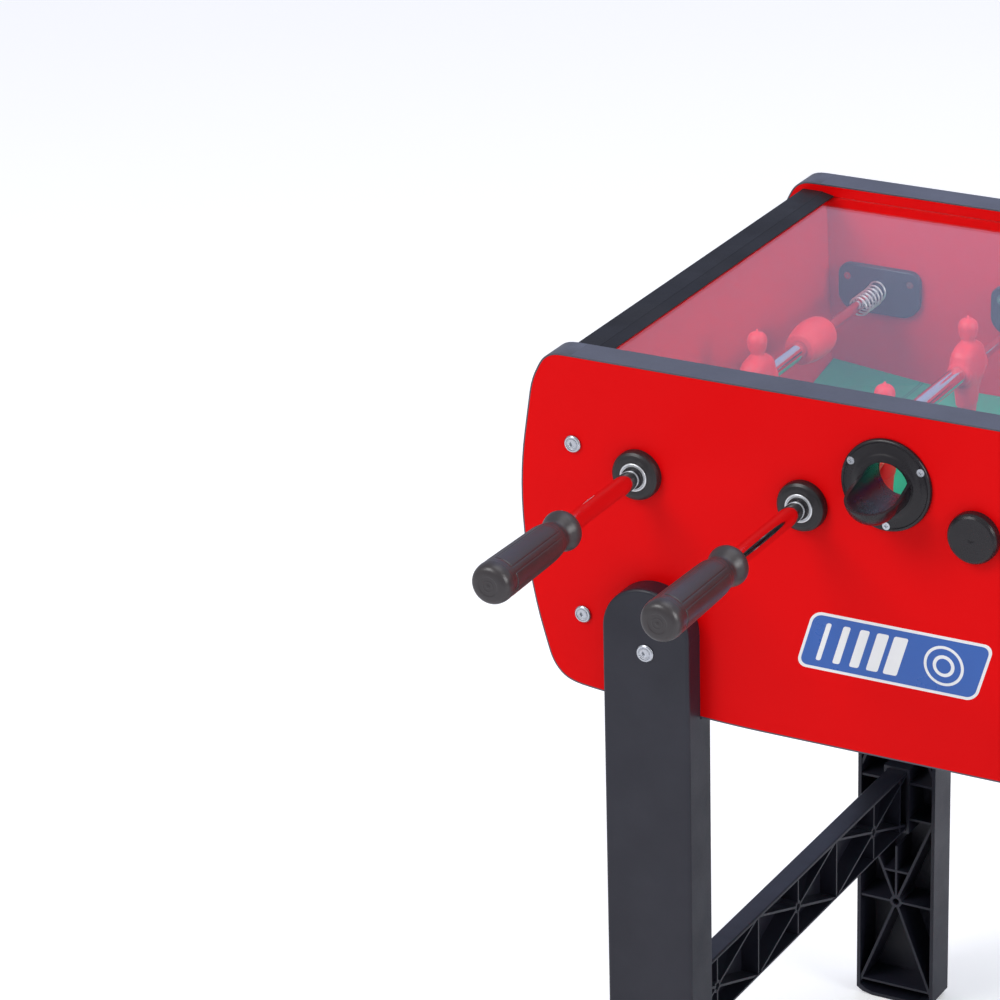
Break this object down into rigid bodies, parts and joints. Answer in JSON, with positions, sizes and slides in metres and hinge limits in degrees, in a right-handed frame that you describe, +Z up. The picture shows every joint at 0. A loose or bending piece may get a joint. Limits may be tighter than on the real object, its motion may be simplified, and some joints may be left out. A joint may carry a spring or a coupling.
{
  "type": "tabletop foosball",
  "caption": "Compact junior table football game with glass top, sliding and turning player rods, moulded legs and cross braces.",
  "frame": {"origin": "on the floor, at the middle of the table's footprint", "axes": "+X along the pitch from the first player's goal to the opponent's, +Y away from the first player, +Z up; X is also the longest side of the body without the rods"},
  "size_m": [0.6712, 1.0258, 0.832],
  "materials": {
    "red_laminate": "satin red laminate over board",
    "black_edging": "black edge band, satin",
    "black_moulding": "moulded black plastic with fine grain",
    "grip_black": "soft-touch black plastic",
    "glass": "clear polished",
    "pitch_green": "printed green board",
    "raw_board": "plain wood",
    "chromed_tube": "polished",
    "steel_rod": "drawn steel",
    "bolt_zinc": "zinc plated",
    "ring_grey": "silver-grey plastic",
    "plate_grey": "dark grey moulded plastic",
    "rubber_black": "moulded rubber",
    "figure_red": "semi-gloss",
    "figure_blue": "semi-gloss",
    "bumper_red": "soft moulded rubber",
    "bumper_blue": "soft moulded rubber"
  },
  "bodies": {
    "table": {"side_panel_front": "red_laminate", "side_panel_rear": "red_laminate", "end_board_left": "red_laminate", "end_board_right": "red_laminate", "edge_band_front": "black_edging", "edge_band_rear": "black_edging", "end_rail_left": "black_moulding", "end_rail_right": "black_moulding", "glass_top": "glass", "playfield_board": "pitch_green", "corner_ramps": "pitch_green", "field_cleats": "raw_board", "goal_cup_left": "black_moulding", "goal_cup_right": "black_moulding", "ball_chute_front": "black_moulding", "ball_chute_rear": "black_moulding", "chute_screws": "bolt_zinc", "bearing_housings_front": "rubber_black", "bearing_housings_rear": "rubber_black", "bearing_rings_front": "ring_grey", "bearing_rings_rear": "ring_grey", "bearing_locknuts": "black_moulding", "anchor_caps_front": "black_moulding", "anchor_caps_rear": "black_moulding", "anchor_plates_front": "plate_grey", "anchor_plates_rear": "plate_grey", "plate_screws": "bolt_zinc", "inner_rods_front": "steel_rod", "inner_rods_rear": "steel_rod", "springs_front": "steel_rod", "springs_rear": "steel_rod", "leg_front_left": "black_moulding", "leg_front_right": "black_moulding", "leg_rear_left": "black_moulding", "leg_rear_right": "black_moulding", "brace_left": "black_moulding", "brace_right": "black_moulding", "leg_bolts": "bolt_zinc", "panel_bolts": "bolt_zinc"},
    "bush_1": {"rod_bush_1": "black_moulding"},
    "rod_1": {"rod_tube_1": "chromed_tube", "grip_1": "grip_black", "figures_1": "figure_red", "bumpers_1": "bumper_red"},
    "bush_2": {"rod_bush_2": "black_moulding"},
    "rod_2": {"rod_tube_2": "chromed_tube", "grip_2": "grip_black", "figures_2": "figure_red", "bumpers_2": "bumper_red"},
    "bush_3": {"rod_bush_3": "black_moulding"},
    "rod_3": {"rod_tube_3": "chromed_tube", "grip_3": "grip_black", "figures_3": "figure_blue", "bumpers_3": "bumper_blue"},
    "bush_4": {"rod_bush_4": "black_moulding"},
    "rod_4": {"rod_tube_4": "chromed_tube", "grip_4": "grip_black", "figures_4": "figure_blue", "bumpers_4": "bumper_blue"}
  },
  "joints": [
    {"name": "rod_1_turn", "type": "hinge", "parent": "table", "child": "bush_1", "pos_m": [-0.225, -0.255, 0.738], "axis": [0, -1, 0], "range_deg": [-30, 210]},
    {"name": "rod_1_slide", "type": "slide", "parent": "bush_1", "child": "rod_1", "axis": [0, 1, 0], "range_m": [-0.0155, 0.074]},
    {"name": "rod_2_turn", "type": "hinge", "parent": "table", "child": "bush_2", "pos_m": [-0.075, -0.255, 0.738], "axis": [0, -1, 0], "continuous": true},
    {"name": "rod_2_slide", "type": "slide", "parent": "bush_2", "child": "rod_2", "axis": [0, 1, 0], "range_m": [-0.058, 0.073]},
    {"name": "rod_3_turn", "type": "hinge", "parent": "table", "child": "bush_3", "pos_m": [0.075, 0.255, 0.738], "axis": [0, 1, 0], "continuous": true},
    {"name": "rod_3_slide", "type": "slide", "parent": "bush_3", "child": "rod_3", "axis": [0, -1, 0], "range_m": [-0.058, 0.073]},
    {"name": "rod_4_turn", "type": "hinge", "parent": "table", "child": "bush_4", "pos_m": [0.225, 0.255, 0.738], "axis": [0, 1, 0], "range_deg": [-30, 210]},
    {"name": "rod_4_slide", "type": "slide", "parent": "bush_4", "child": "rod_4", "axis": [0, -1, 0], "range_m": [-0.0155, 0.074]}
  ]
}
